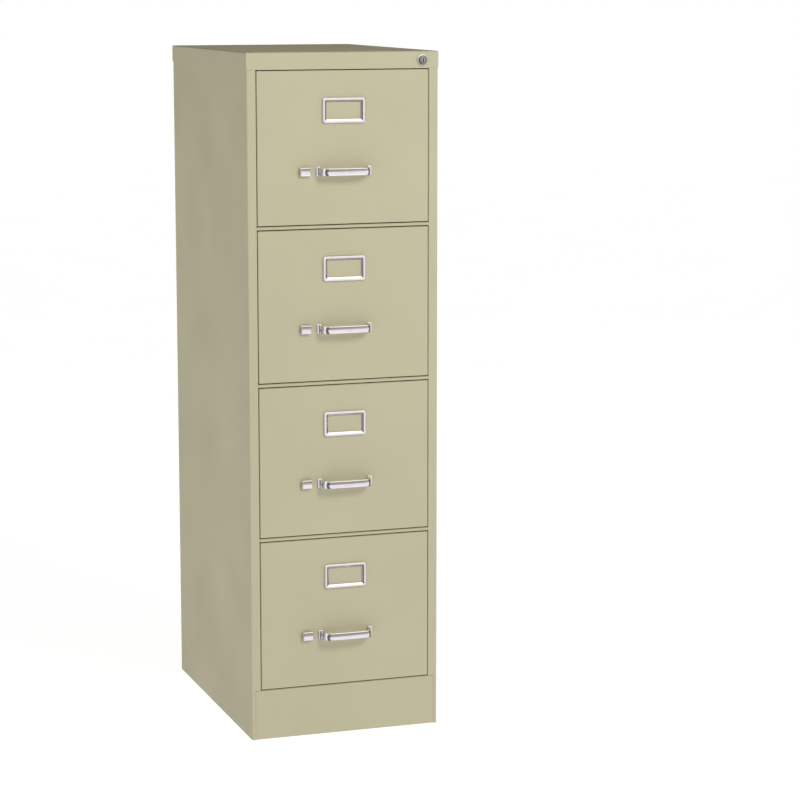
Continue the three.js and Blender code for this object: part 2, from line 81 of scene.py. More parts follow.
def folded_strip(centreline, thickness):
    """The section of a folded sheet: straight runs with a round bend at each corner."""
    points = [Vector(p) for p in centreline]
    half = thickness / 2
    left, right = [], []

    def add(at, normal, to_left, to_right):
        left.append(at + normal * to_left)
        right.append(at + normal * to_right)

    def heading(i):
        return (points[i + 1] - points[i]).normalized()

    def left_of(direction):
        return Vector((-direction.y, direction.x))

    add(points[0], left_of(heading(0)), half, -half)
    for i in range(1, len(points) - 1):
        before, after = heading(i - 1), heading(i)
        turn = 1 if before.x * after.y - before.y * after.x > 0 else -1
        angle = before.angle(after)
        inwards = left_of(before) * turn
        centre = points[i] - before * FOLD * math.tan(angle / 2) + inwards * FOLD
        for step in range(FOLD_STEPS + 1):
            turned = turn * angle * step / FOLD_STEPS
            spoke = Matrix.Rotation(turned, 2) @ -inwards
            add(centre, spoke, FOLD - turn * half, FOLD + turn * half)
    add(points[-1], left_of(heading(len(points) - 2)), half, -half)
    return left + right[::-1]


def rounded_rectangle(half_u, half_v, radius, steps=5):
    """Points round a rectangle centred on the origin, anticlockwise, with arcs at its corners."""
    radius = max(radius, 0.02 * MM)
    points = []
    for quarter, (su, sv) in enumerate(((1, 1), (-1, 1), (-1, -1), (1, -1))):
        for step in range(steps + 1):
            angle = (quarter + step / steps) * math.pi / 2
            u = su * (half_u - radius) + radius * math.cos(angle)
            v = sv * (half_v - radius) + radius * math.sin(angle)
            points.append((u, v))
    return points


def quarter_round(radius, steps):
    """A rounded edge as (inset, drop) pairs, from the wall up to the flat face."""
    pairs = []
    for step in range(steps + 1):
        angle = math.pi / 2 * step / steps
        pairs.append((radius * (1 - math.cos(angle)), radius * (1 - math.sin(angle))))
    return pairs


def dome(radius, height, steps):
    """A domed head as (radius, rise) pairs, without its tip."""
    angles = [math.pi / 2 * step / steps for step in range(steps)]
    return [(radius * math.cos(angle), height * math.sin(angle)) for angle in angles]


def placed(point, axis, along):
    """A section's point (u, v) at a distance along an axis, as a point in the frame."""
    u, v = point
    return {"x": (along, u, v), "y": (u, along, v), "z": (u, v, along)}[axis]


def skin(loops, closed=False):
    """A closed surface through loops of points; its ends are capped unless it closes on itself."""
    bm = bmesh.new()
    rings = [[bm.verts.new(p) for p in loop] for loop in loops]
    count = len(rings[0])
    pairs = list(zip(rings, rings[1:]))
    if closed:
        pairs.append((rings[-1], rings[0]))
    for a, b in pairs:
        for i in range(count):
            j = (i + 1) % count
            bm.faces.new((a[i], a[j], b[j], b[i]))
    if not closed:
        bm.faces.new(rings[0])
        bm.faces.new(rings[-1])
    return as_mesh(bm)


def as_mesh(bm):
    """A Blender mesh with merged points, outward faces and smooth shading."""
    bmesh.ops.remove_doubles(bm, verts=bm.verts, dist=1e-7)
    bmesh.ops.recalc_face_normals(bm, faces=bm.faces)
    for face in bm.faces:
        face.smooth = True
    mesh = bpy.data.meshes.new("shape")
    bm.to_mesh(mesh)
    bm.free()
    return mesh


def prism(section, axis, start, end):
    return skin([[placed(p, axis, along) for p in section] for along in (start, end)])


def revolved(profile, centre, segments=64):
    """A closed profile of (radius, y) turned about the line through centre along Y."""
    loops = []
    for i in range(segments):
        angle = 2 * math.pi * i / segments
        c, s = math.cos(angle), math.sin(angle)
        loops.append([(centre.x + r * c, y, centre.z + r * s) for r, y in profile])
    return skin(loops, closed=True)


def moved(mesh, offset=(0, 0, 0), mirror=False):
    """A copy of a mesh, carried by an offset and mirrored in X if asked."""
    copy = mesh.copy()
    if mirror:
        copy.transform(Matrix.Diagonal((-1, 1, 1, 1)))
        copy.flip_normals()
    copy.transform(Matrix.Translation(offset))
    return copy


def joined(*meshes):
    bm = bmesh.new()
    for mesh in meshes:
        bm.from_mesh(mesh)
    mesh = bpy.data.meshes.new("shape")
    bm.to_mesh(mesh)
    bm.free()
    return mesh


def boolean(mesh, tool, operation):
    """mesh with tool cut from it or added to it."""
    made = []
    for data in (mesh, tool):
        obj = bpy.data.objects.new("boolean", data)
        bpy.context.scene.collection.objects.link(obj)
        made.append(obj)
    modifier = made[0].modifiers.new("boolean", "BOOLEAN")
    modifier.operation = operation
    modifier.solver = "EXACT"
    modifier.object = made[1]
    graph = bpy.context.evaluated_depsgraph_get()
    result = bpy.data.meshes.new_from_object(made[0].evaluated_get(graph))
    for obj in made:
        bpy.data.objects.remove(obj)
    for polygon in result.polygons:
        polygon.use_smooth = True
    return result


def cut(mesh, *tools):
    for tool in tools:
        mesh = boolean(mesh, tool, "DIFFERENCE")
    return mesh


def slab(x, y, z):
    """A block between two values on each axis, used only to cut."""
    section = [(x[0], y[0]), (x[1], y[0]), (x[1], y[1]), (x[0], y[1])]
    return prism(section, "z", *z)


def soften(piece, width):
    """A narrow round along each of a piece's sharp edges."""
    bevel = piece.modifiers.new("edge", "BEVEL")
    bevel.width = width
    bevel.segments = 2
    bevel.limit_method = "ANGLE"
    bevel.angle_limit = SHARP


def put(name, mesh, material, body, node=None, edge=EDGE_BREAK):
    """A piece in the scene: its mesh, its softened edges, its material and the body it rides on."""
    mesh.name = name
    mesh.materials.clear()
    mesh.materials.append(material)
    piece = bpy.data.objects.new(name, mesh)
    bpy.context.scene.collection.objects.link(piece)
    if edge:
        soften(piece, edge)
        weighted = piece.modifiers.new("normals", "WEIGHTED_NORMAL")
        weighted.weight = 80
        weighted.keep_sharp = True
    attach(piece, body)
    if node:
        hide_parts(node)
    return piece


# ---- Materials ----

NOISE_RANGE = (0.3, 0.7)  # what a noise pattern mostly keeps within


def new_material(name):
    """A node material, its shader, and functions that add a node and that join two sockets."""
    material = bpy.data.materials.new(name)
    material.use_nodes = True
    tree = material.node_tree
    shader = tree.nodes["Principled BSDF"]

    def node(kind, **values):
        made = tree.nodes.new(kind)
        for key, value in values.items():
            if hasattr(made, key):
                setattr(made, key, value)
            else:
                made.inputs[key.replace("_", " ")].default_value = value
        return made

    return material, shader, node, tree.links.new


def noise(node, link, scale, detail=2.0, roughness=0.5, stretch=(1, 1, 1)):
    """A noise pattern in the frame's own space, drawn out along an axis if asked."""
    place = node("ShaderNodeTexCoord")
    mapping = node("ShaderNodeMapping")
    mapping.inputs["Scale"].default_value = stretch
    pattern = node("ShaderNodeTexNoise", Scale=scale, Detail=detail, Roughness=roughness)
    link(place.outputs["Object"], mapping.inputs["Vector"])
    link(mapping.outputs["Vector"], pattern.inputs["Vector"])
    return pattern.outputs["Fac"]


def spread_between(node, link, source, low, high):
    """A value that runs between low and high as the pattern runs through its usual range."""
    start, end = NOISE_RANGE
    ramp = node("ShaderNodeMapRange", From_Min=start, From_Max=end, To_Min=low, To_Max=high)
    link(source, ramp.inputs["Value"])
    return ramp.outputs["Result"]


def tinted(node, link, source, dark, light):
    """A colour that runs between two others as the pattern runs through its usual range."""
    mix = node("ShaderNodeMix", data_type="RGBA")
    link(spread_between(node, link, source, 0.0, 1.0), mix.inputs["Factor"])
    mix.inputs["A"].default_value = (*dark, 1)
    mix.inputs["B"].default_value = (*light, 1)
    return mix.outputs["Result"]


def bumped(node, link, shader, layers):
    """Stacked bumps: each layer is a pattern, a height in metres and a strength."""
    previous = None
    for source, height, strength in layers:
        bump = node("ShaderNodeBump", Strength=strength, Distance=height)
        link(source, bump.inputs["Height"])
        if previous:
            link(previous, bump.inputs["Normal"])
        previous = bump.outputs["Normal"]
    link(previous, shader.inputs["Normal"])


def enamel(name, dark, light, roughness):
    """Baked enamel: a fine orange peel over sheet that is never perfectly flat."""
    material, shader, node, link = new_material(name)
    cloud = noise(node, link, 5.0, detail=3.0)
    peel = noise(node, link, 420.0, detail=1.0)
    grit = noise(node, link, 1500.0, detail=1.0)
    sway = noise(node, link, 3.2, detail=1.0)
    link(tinted(node, link, cloud, dark, light), shader.inputs["Base Color"])
    link(spread_between(node, link, cloud, *roughness), shader.inputs["Roughness"])
    layers = [(sway, 0.0022, 0.12), (peel, 0.00008, 0.55), (grit, 0.00002, 0.5)]
    bumped(node, link, shader, layers)
    shader.inputs["Specular IOR Level"].default_value = 0.3
    return material


def bright_plate(name):
    """Polished plating, a little clouded, with faint buffing lines along the piece."""
    material, shader, node, link = new_material(name)
    cloud = noise(node, link, 60.0, detail=2.0)
    buff = noise(node, link, 900.0, detail=2.0, stretch=(0.04, 1, 1))
    dark, light = (0.86, 0.84, 0.855), (0.93, 0.91, 0.925)
    link(tinted(node, link, cloud, dark, light), shader.inputs["Base Color"])
    link(spread_between(node, link, buff, 0.10, 0.17), shader.inputs["Roughness"])
    bumped(node, link, shader, [(cloud, 0.0001, 0.1), (buff, 0.00001, 0.25)])
    shader.inputs["Metallic"].default_value = 1.0
    return material


def zinc(name, dark, light, roughness, stretch):
    """Zinc-plated rolled steel, with the streaks that rolling leaves."""
    material, shader, node, link = new_material(name)
    spangle = noise(node, link, 40.0, detail=4.0, roughness=0.6)
    streak = noise(node, link, 700.0, detail=3.0, stretch=stretch)
    link(tinted(node, link, spangle, dark, light), shader.inputs["Base Color"])
    link(spread_between(node, link, streak, *roughness), shader.inputs["Roughness"])
    bumped(node, link, shader, [(spangle, 0.0002, 0.12), (streak, 0.00002, 0.3)])
    shader.inputs["Metallic"].default_value = 1.0
    return material


PUTTY = enamel("putty_enamel", (0.535, 0.500, 0.338), (0.560, 0.524, 0.356), (0.40, 0.50))
PLATE = bright_plate("bright_plate")
ZINC = zinc("zinc_steel", (0.50, 0.51, 0.52), (0.66, 0.67, 0.68), (0.28, 0.42), (1, 0.03, 1))
LOCK_STEEL = zinc("lock_steel", (0.44, 0.42, 0.37), (0.56, 0.535, 0.48), (0.25, 0.38), (1, 1, 1))


# ---- The case ----

KICK_LOW, KICK_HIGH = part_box("kick_plate")
RAIL_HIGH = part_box("cross_rail_1")[1]
BACK_LOW, BACK_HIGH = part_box("back_panel")
PAN_LOW, PAN_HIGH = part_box("bottom_pan")
OPENING = RAIL_HIGH.x + FIT  # half the width of the drawers' opening
LIP_BACK = KICK_HIGH.y
MIDDLE = SHEET / 2  # from a sheet's face to its middle
RIGHT_LIP_INSET, LEFT_LIP_INSET = 0.7 * MM, 0.4 * MM  # how far each lip narrows its drawers' gap
LOCK_HOLE = 9.7 * MM  # radius


def side_panel(lip_inset):
    """The right side: a lipped front flange, narrow beside the kick plate, and a rear flange."""
    side = SIDE_HIGH.x - MIDDLE
    lip = OPENING + MIDDLE - lip_inset
    section = folded_strip(
        [
            (lip, LIP_BACK),
            (lip, FRONT_Y + MIDDLE),
            (side, FRONT_Y + MIDDLE),
            (side, SIDE_HIGH.y - MIDDLE),
            (SIDE_LOW.x, SIDE_HIGH.y - MIDDLE),
        ],
        SHEET,
    )
    shell = prism(section, "z", 0, CAP_LOW.z - FIT)
    kick = slab(
        (OPENING - MM, KICK_HIGH.x + FIT),
        (FRONT_Y - MM, LIP_BACK + MM),
        (-MM, KICK_HIGH.z + FIT),
    )
    tongue = slab(
        (side - MIDDLE, side + MIDDLE),
        (FRONT_Y + CAP_SHEET + FIT, SIDE_HIGH.y - FOLD),
        (CAP_LOW.z - 2 * MM, SIDE_HIGH.z),
    )
    return boolean(cut(shell, kick), tongue, "UNION")


def top_cap():
    """An upside-down pan with a round top edge, a lip over drawer 1, and open front corners."""
    middle_y = (CAP_LOW.y + CAP_HIGH.y) / 2
    half_y = (CAP_HIGH.y - CAP_LOW.y) / 2
    top_round, corner = 2.4 * MM, 2.2 * MM
    seam_near, seam_far = 1.5 * MM, 3.9 * MM  # each open corner, back from the drawer fronts

    def loop(inset, z):
        outline = rounded_rectangle(CAP_HIGH.x - inset, half_y - inset, corner - inset)
        return [(u, middle_y + v, z) for u, v in outline]

    loops = [
        loop(CAP_SHEET, CAP_HIGH.z - CAP_SHEET),
        loop(CAP_SHEET, CAP_LOW.z),
        loop(0, CAP_LOW.z),
    ]
    for inset, drop in quarter_round(top_round, 6):
        loops.append(loop(inset, CAP_HIGH.z - drop))
    lip = slab(
        (-OPENING + FIT, OPENING - FIT),
        (FRONT_Y + CAP_SHEET / 2, LIP_BACK),
        (CAP_LOW.z, CAP_LOW.z + CAP_SHEET),
    )
    shell = boolean(skin(loops), lip, "UNION")
    seams = [
        slab(
            sorted((side * (CAP_HIGH.x - 1.5 * CAP_SHEET), side * (CAP_HIGH.x + MM))),
            (FRONT_Y + seam_near, FRONT_Y + seam_far),
            (CAP_LOW.z - MM, CAP_HIGH.z - top_round),
        )
        for side in (-1, 1)
    ]
    return cut(shell, lock_hole(), *seams)


def lock_hole():
    """A drill through the cap's front, for the lock."""
    low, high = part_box("lock_housing")
    near, far = FRONT_Y - MM, FRONT_Y + 3 * MM
    profile = [(0, near), (LOCK_HOLE, near), (LOCK_HOLE, far), (0, far)]
    return revolved(profile, (low + high) / 2)


def front_channel(low, high):
    """A kick plate or cross rail: a channel that opens to the rear."""
    section = folded_strip(
        [
            (high.y, low.z + MIDDLE),
            (low.y + MIDDLE, low.z + MIDDLE),
            (low.y + MIDDLE, high.z - MIDDLE),
            (high.y, high.z - MIDDLE),
        ],
        SHEET,
    )
    return prism(section, "x", low.x, high.x)


def bottom_pan():
    """A flat floor with a flange up each side."""
    side = PAN_HIGH.x - MIDDLE
    corners = [(-side, PAN_HIGH.z), (-side, MIDDLE), (side, MIDDLE), (side, PAN_HIGH.z)]
    return prism(folded_strip(corners, SHEET), "y", PAN_LOW.y, PAN_HIGH.y)


def back_panel():
    """A flat sheet with upright beads pressed into it, which stiffen it."""
    columns, rows = 96, 150
    bead_x, bead_ends, bead_half, bead_depth = 82 * MM, (0.16, 1.16), 13 * MM, 3 * MM

    def pressed(x, z):
        beyond = max(bead_ends[0] - z, z - bead_ends[1], 0)
        reach = min(math.hypot(abs(x) - bead_x, beyond) / bead_half, 1)
        return bead_depth * (0.5 + 0.5 * math.cos(math.pi * reach))

    bm = bmesh.new()
    sides = []
    for face_y in (BACK_LOW.y, BACK_HIGH.y):
        grid = []
        for i in range(columns + 1):
            x = BACK_LOW.x + (BACK_HIGH.x - BACK_LOW.x) * i / columns
            heights = [BACK_HIGH.z * j / rows for j in range(rows + 1)]
            grid.append([bm.verts.new((x, face_y - pressed(x, z), z)) for z in heights])
        sides.append(grid)
    for grid in sides:
        for i in range(columns):
            for j in range(rows):
                bm.faces.new((grid[i][j], grid[i + 1][j], grid[i + 1][j + 1], grid[i][j + 1]))
    inner, outer = sides
    for i in range(columns):
        for j in (0, rows):
            bm.faces.new((inner[i][j], inner[i + 1][j], outer[i + 1][j], outer[i][j]))
    for j in range(rows):
        for i in (0, columns):
            bm.faces.new((inner[i][j], inner[i][j + 1], outer[i][j + 1], outer[i][j]))
    return as_mesh(bm)


def pan_head(x, z, y):
    """A cross-head screw, seen from behind, whose head stands on the plane y."""
    radius, height = 3.4 * MM, 1.3 * MM
    curve = [(r, y + rise) for r, rise in dome(radius, height, 6)]
    profile = [(0, y - MM), (radius, y - MM), *curve, (0, y + height)]
    head = revolved(profile, Vector((x, 0, z)), 32)
    wide, narrow = 1.9 * MM, 0.4 * MM
    depth = (y + height / 2, y + 2 * height)
    for half_x, half_z in ((wide, narrow), (narrow, wide)):
        head = cut(head, slab((x - half_x, x + half_x), depth, (z - half_z, z + half_z)))
    return head


def build_case():
    sides = (("right", False, RIGHT_LIP_INSET), ("left", True, LEFT_LIP_INSET))
    for name, mirror, lip_inset in sides:
        node = f"side_panel_{name}"
        side = moved(side_panel(lip_inset), mirror=mirror)
        put(f"side_{name}", side, PUTTY, "case", node)
    put("cap", top_cap(), PUTTY, "case", "top_cap")
    kick = front_channel(KICK_LOW, KICK_HIGH)
    put("kick", kick, PUTTY, "case", "kick_plate", FINE_EDGE)
    put("floor_pan", bottom_pan(), PUTTY, "case", "bottom_pan")
    put("rear_sheet", back_panel(), PUTTY, "case", "back_panel")
    for number in DRAWERS[:-1]:
        node = f"cross_rail_{number}"
        put(f"rail_{number}", front_channel(*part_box(node)), PUTTY, "case", node)
    flange_middle = (SIDE_LOW.x + SIDE_HIGH.x) / 2
    lowest, pitch = 0.09, 0.285
    heights = [lowest + pitch * i for i in range(5)]
    screws = [pan_head(sx * flange_middle, z, SIDE_HIGH.y) for sx in (-1, 1) for z in heights]
    put("rear_screws", joined(*screws), ZINC, "case", edge=FINE_EDGE)


# ---- Slides ----

SLIDE_SHEET = 1.2 * MM
OUTER_FACE = 168 * MM  # the outer channel's far face, which its brackets hold off the side panel
BRACKETS = (44 * MM, 470 * MM)  # how far behind the drawer fronts each bracket's leg stands
BRACKET_SPAN = 30 * MM
BRACKET_FOOT = 11 * MM
BRACKET_HALF = 15 * MM


def channel(node):
    """A slide's channel in the frame, from its CAD box: its web's side is told by where it is."""
    low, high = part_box(node)
    half = SLIDE_SHEET / 2
    inner = node.startswith("slide_inner")
    web, flange_end = (low.x + half, high.x) if inner else (high.x - half, low.x)
    if node.startswith("slide_outer"):
        web = OUTER_FACE - half
    top, bottom = high.z - half, low.z + half
    corners = [(flange_end, top), (web, top), (web, bottom), (flange_end, bottom)]
    return folded_strip(corners, SLIDE_SHEET), low, high, web


def round_slot(centre_y, centre_z, half_length, radius, x):
    """A slot with round ends along Y, to cut through a web between two values of x."""
    outline = rounded_rectangle(half_length, radius, radius * 0.999, 8)
    return prism([(centre_y + u, centre_z + v) for u, v in outline], "x", *x)


def web_holes(low, high, web, count):
    """Evenly spaced slots and rivet holes in a slide's web."""
    radius, slot_half = 2.6 * MM, 9 * MM
    middle_z = (low.z + high.z) / 2
    x = (web - 2 * MM, web + 2 * MM)
    pitch = (high.y - low.y) / count
    tools = []
    for i in range(count):
        y = low.y + pitch * (i + 0.5)
        half_length = slot_half if i % 2 else radius
        tools.append(round_slot(y, middle_z, half_length, radius, x))
    return tools


def outer_slide():
    """The fixed channel with the two hat-shaped brackets that hold it off the side panel."""
    section, low, high, web = channel("slide_outer_1_right")
    middle_z = (low.z + high.z) / 2
    shape = prism(section, "y", low.y, high.y)
    foot = high.x - SLIDE_SHEET / 2
    for setback in BRACKETS:
        y = FRONT_Y + setback
        hat = folded_strip(
            [
                (foot, y - BRACKET_FOOT),
                (foot, y),
                (web, y),
                (web, y + BRACKET_SPAN),
                (foot, y + BRACKET_SPAN),
                (foot, y + BRACKET_SPAN + BRACKET_FOOT),
            ],
            SLIDE_SHEET,
        )
        bracket = prism(hat, "z", middle_z - BRACKET_HALF, middle_z + BRACKET_HALF)
        shape = boolean(shape, bracket, "UNION")
    return shape


def plain_slide(node, count):
    """A moving channel with holes in its web."""
    section, low, high, web = channel(node)
    return cut(prism(section, "y", low.y, high.y), *web_holes(low, high, web, count))


def build_slides():
    shapes = {
        "slide_outer": (outer_slide(), "case"),
        "slide_middle": (plain_slide("slide_middle_1_right", 9), "middle_slides_{}"),
        "slide_inner": (plain_slide("slide_inner_1_right", 7), "drawer_{}"),
    }
    for kind, (shape, body) in shapes.items():
        for number in DRAWERS:
            for side, mirror in (("right", False), ("left", True)):
                mesh = moved(shape, (0, 0, -drawer_drop(number)), mirror)
                node = f"{kind}_{number}_{side}"
                name = f"{kind.split('_')[1]}_rail_{number}_{side}"
                put(name, mesh, ZINC, body.format(number), node, edge=0.2 * MM)


# ---- Drawers, shaped at drawer 1 and copied down ----

HANDLE_LOW, HANDLE_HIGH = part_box("handle_1")
LABEL_LOW, LABEL_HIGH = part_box("label_holder_1")
LATCH_LOW, LATCH_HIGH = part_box("latch_1")
TRAY_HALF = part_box("slide_inner_1_right")[0].x - FIT
TRAY_FLOOR = FRONT_LOW.z + 5 * MM
TRAY_TOP = TRAY_FLOOR + 250 * MM
HEM = 6 * MM
LATCH_X = -77.5 * MM
LATCH_Z = (LATCH_LOW.z + LATCH_HIGH.z) / 2
LATCH_TRAVEL = 8 * MM
STEM_HALF, BOLT_HALF = 3 * MM, 5 * MM  # half the height of the latch's stem and of its bolt
BOLT_NEAR, BOLT_FAR = 4 * MM, 6.5 * MM  # the bolt's faces, behind the drawer front's face


def drawer_front():
    """A shallow pan with a round front edge, open at the back, slotted for the latch."""
    round_edge, corner = 1.7 * MM, 2.0 * MM
    half_z = (FRONT_HIGH.z - FRONT_LOW.z) / 2

    def loop(inset, y):
        outline = rounded_rectangle(FRONT_HIGH.x - inset, half_z - inset, corner - inset)
        return [(u, y, DRAWER_MIDDLE + v) for u, v in outline]

    loops = [loop(SHEET, FRONT_Y + SHEET), loop(SHEET, FRONT_HIGH.y), loop(0, FRONT_HIGH.y)]
    for inset, drop in quarter_round(round_edge, 6):
        loops.append(loop(inset, FRONT_Y + drop))
    reach = STEM_HALF + FIT
    stem = slab(
        (LATCH_X - reach, LATCH_X + reach + LATCH_TRAVEL),
        (FRONT_Y - MM, FRONT_Y + 2 * MM),
        (LATCH_Z - reach, LATCH_Z + reach),
    )
    bolt = slab(
        (-FRONT_HIGH.x - MM, -FRONT_HIGH.x + 2 * MM),
        (FRONT_Y + BOLT_NEAR - FIT, FRONT_Y + BOLT_FAR + FIT),
        (LATCH_Z - BOLT_HALF - FIT, LATCH_Z + BOLT_HALF + FIT),
    )
    return cut(skin(loops), stem, bolt)


def drawer_tray():
    """One folded sheet, hemmed along the top, between a front wall and a back wall."""
    side = TRAY_HALF - MIDDLE
    right = [
        (side, TRAY_FLOOR + MIDDLE),
        (side, TRAY_TOP - MIDDLE),
        (side + HEM, TRAY_TOP - MIDDLE),
        (side + HEM, TRAY_TOP - HEM),
    ]
    left = [(-x, z) for x, z in reversed(right)]
    folded = prism(folded_strip(left + right, SHEET), "y", TRAY_LOW.y, TRAY_HIGH.y)
    front_wall = slab(
        (TRAY_LOW.x, TRAY_HIGH.x),
        (TRAY_LOW.y, TRAY_LOW.y + SHEET),
        (TRAY_LOW.z, TRAY_HIGH.z),
    )
    back_wall = slab(
        (-side, side),
        (TRAY_HIGH.y - SHEET, TRAY_HIGH.y),
        (TRAY_FLOOR + MIDDLE, TRAY_TOP - MIDDLE),
    )
    return boolean(boolean(folded, front_wall, "UNION"), back_wall, "UNION")


def smooth(t):
    """0 below 0 and 1 above 1, with an S-shaped rise between them."""
    t = min(max(t, 0.0), 1.0)
    return t * t * (3 - 2 * t)


def handle_section(height, thickness, hollow):
    """A strap's section as (z, outward) points: round rims and a front that is hollow between."""
    rim, heel = 1.5 * MM, 0.9 * MM
    half = height / 2
    upper = [(0, -thickness), (half - heel, -thickness)]
    for step in range(1, 4):
        angle = -math.pi / 2 + math.pi / 2 * step / 3
        centre = (half - heel, -thickness + heel)
        upper.append((centre[0] + heel * math.cos(angle), centre[1] + heel * math.sin(angle)))
    for step in range(6):
        angle = math.pi / 2 * step / 5
        upper.append((half - rim + rim * math.cos(angle), -rim + rim * math.sin(angle)))
    reach = half - rim
    for step in range(1, 9):
        z = reach * (1 - step / 8)
        upper.append((z, -hollow * (1 - (z / reach) ** 2)))
    lower = [(-z, w) for z, w in reversed(upper[1:-1])]
    return upper + lower


def handle_foot(height):
    """A flat pad with a round front edge, on the drawer front at the handle's right end."""
    width, thickness, corner, edge = 9 * MM, 2.6 * MM, 2 * MM, 1.1 * MM
    x = HANDLE_HIGH.x - width / 2
    z = (HANDLE_LOW.z + HANDLE_HIGH.z) / 2
    rings = [(0, 0)]
    rings += [(inset, thickness - drop) for inset, drop in quarter_round(edge, 4)]
    rings.append((edge + 0.2 * MM, thickness))
    loops = []
    for inset, out in rings:
        outline = rounded_rectangle(width / 2 - inset, height / 2 - inset, corner - inset)
        loops.append([(x + u, FRONT_Y - out, z + v) for u, v in outline])
    return skin(loops)


def handle():
    """An arched pull: a pad at each end, straight legs, round bends and a grip bowed forwards."""
    reach = FRONT_Y - HANDLE_LOW.y
    centre_z = (HANDLE_LOW.z + HANDLE_HIGH.z) / 2
    grip_height, strap, bend, bow = 14.8 * MM, 3.6 * MM, 15 * MM, 1.2 * MM
    flare = 2.4 * MM  # how much taller a leg is at its foot than the grip
    grip_half = 34.5 * MM  # to where each bend begins
    lean = math.radians(4)  # of the legs
    hollow_depth = 1.7 * MM
    hollow_from, hollow_to = 30, 90  # degrees the strap faces at, from flat to fully hollow
    last = math.pi / 2 - math.atan(2 * bow / grip_half)
    centre = Vector((grip_half - bend * math.cos(last), reach - bow - bend * math.sin(last)))
    top = centre + bend * Vector((math.cos(lean), math.sin(lean)))
    base = Vector((top.x + top.y * math.tan(lean), 0))
    leg_steps, bend_steps, grip_steps = 10, 20, 12
    route = [base.lerp(top, step / leg_steps) for step in range(leg_steps)]
    for step in range(bend_steps):
        angle = lean + (last - lean) * step / bend_steps
        route.append(centre + bend * Vector((math.cos(angle), math.sin(angle))))
    turned = len(route)
    for step in range(grip_steps + 1):
        x = grip_half * (1 - step / grip_steps)
        route.append(Vector((x, reach - bow * (x / grip_half) ** 2)))
    run = [0.0]
    for before, after in zip(route, route[1:]):
        run.append(run[-1] + (after - before).length)
    loops = []
    for index, point in enumerate(route):
        ahead = route[index + 1] if index + 1 < len(route) else point + Vector((-MM, 0))
        behind = route[index - 1] if index else point
        along = (ahead - behind).normalized()
        out = Vector((along.y, -along.x))
        left = max(0.0, 1 - run[index] / run[turned])
        height = grip_height + flare * left**2
        facing = math.degrees(math.atan2(out.y, out.x))
        hollow = hollow_depth * smooth((facing - hollow_from) / (hollow_to - hollow_from))
        section = handle_section(height, strap, hollow)
        ring = [(point + out * w, z) for z, w in section]
        loops.append([(spot.x, FRONT_Y - spot.y, centre_z + z) for spot, z in ring])
    loops[0] = [(x, FRONT_Y, z) for x, y, z in loops[0]]
    mirrored = [[(-x, y, z) for x, y, z in loop] for loop in reversed(loops[:-1])]
    foot = handle_foot(HANDLE_HIGH.z - HANDLE_LOW.z)
    arch = boolean(skin(loops + mirrored), foot, "UNION")
    return boolean(arch, moved(foot, mirror=True), "UNION")


def label_holder():
    """A frame of one rolled bar whose inner slope runs down to a lip over the card's groove."""
    centre = (LABEL_LOW + LABEL_HIGH) / 2
    half_x, half_z = (LABEL_HIGH.x - LABEL_LOW.x) / 2, (LABEL_HIGH.z - LABEL_LOW.z) / 2
    slot_half, slot_height = 37 * MM, 4 * MM  # where the card slides in, through the top bar
    groove = 0.95  # millimetres out from the drawer's front, behind the lip
    profile = [  # (in from the outer edge, out from the drawer's front), in millimetres
        (0.0, 0.0), (0.0, 2.4), (0.12, 3.0), (0.4, 3.45), (0.85, 3.72), (1.4, 3.8), (3.9, 3.8),
        (4.4, 3.7), (4.9, 3.45), (7.3, 1.75), (7.7, 1.45), (7.95, 1.25), (8.0, 1.1),
        (7.9, groove), (5.0, groove), (5.0, 0.0),
    ]
    loops = []
    for inset, height in profile:
        corner = max(4.5 - 0.6 * inset, 1.2) * MM  # tightens inwards
        outline = rounded_rectangle(half_x - inset * MM, half_z - inset * MM, corner, 6)
        y = FRONT_Y - height * MM
        loops.append([(u, y, centre.z + v) for u, v in outline])
    card_slot = slab(
        (-slot_half, slot_half),
        (FRONT_Y - groove * MM, FRONT_Y + MM),
        (LABEL_HIGH.z - slot_height, LABEL_HIGH.z + MM),
    )
    return cut(skin(loops, closed=True), card_slot)


